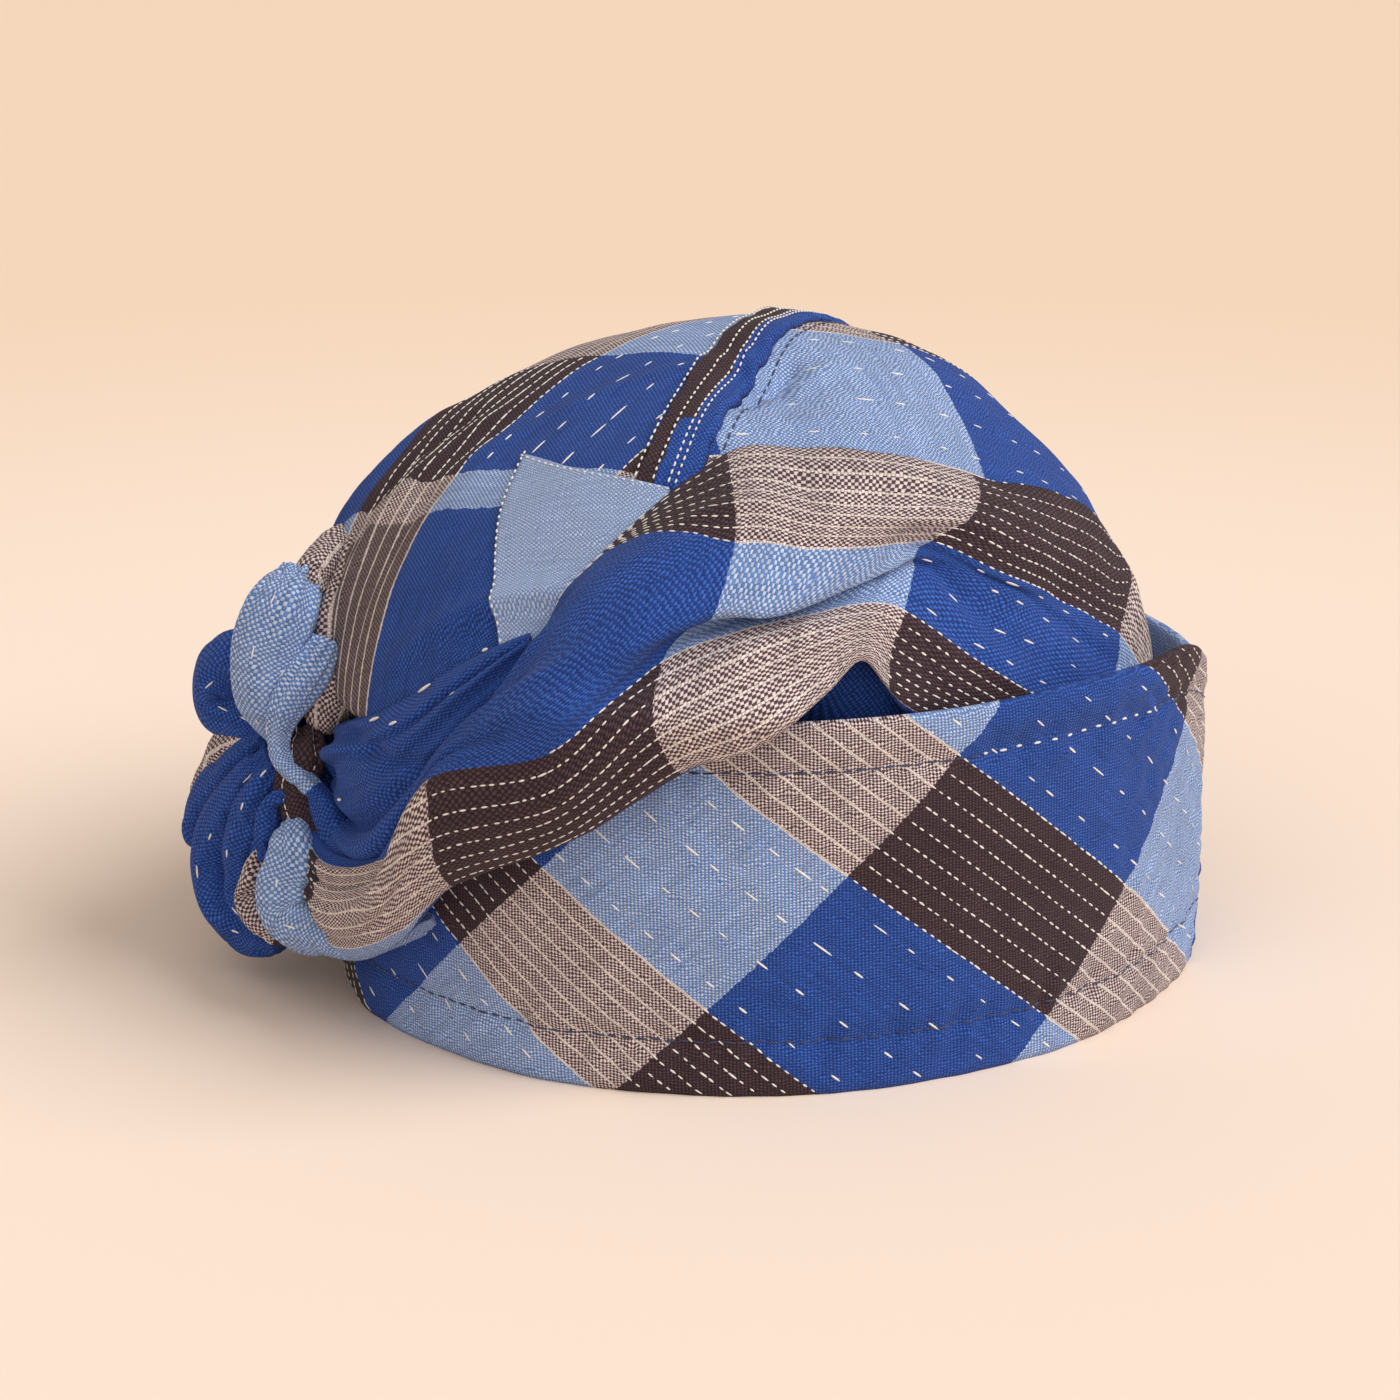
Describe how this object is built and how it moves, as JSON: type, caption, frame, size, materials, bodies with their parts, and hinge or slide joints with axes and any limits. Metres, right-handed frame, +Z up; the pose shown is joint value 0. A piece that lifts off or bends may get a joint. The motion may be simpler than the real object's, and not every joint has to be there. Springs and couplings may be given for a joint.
{
  "type": "smock hat",
  "caption": "Soft round cloth hat in plaid, with a head band, a domed crown and a twisted wrap that leaves a gathered knot at the front.",
  "frame": {"origin": "centre of the hat's outline seen from above, on the plane that the band rests on", "axes": "+Z up, -Y toward the front of the hat, where the knot is, +X toward the wearer's left"},
  "size_m": [0.18, 0.2228, 0.1425],
  "materials": {
    "band_cloth": "plaid plain weave, blue and brown stripes over dark and white bands",
    "crown_cloth": "plaid plain weave, mostly royal blue",
    "wrap_cloth": "plaid plain weave, brown with white lines, grey and blue",
    "strip_cloth": "plain weave, brown and blue with white lines",
    "patch_cloth": "plain weave, light blue",
    "gather_cloth": "plain weave, royal blue",
    "knot_cloth": "plaid plain weave, blue, light blue and brown"
  },
  "bodies": {
    "root": {"band": "band_cloth", "crown": "crown_cloth", "front_wrap": "wrap_cloth", "seam_strip": "strip_cloth", "crown_patch": "patch_cloth", "side_gather": "gather_cloth", "knot": "knot_cloth"}
  },
  "joints": []
}
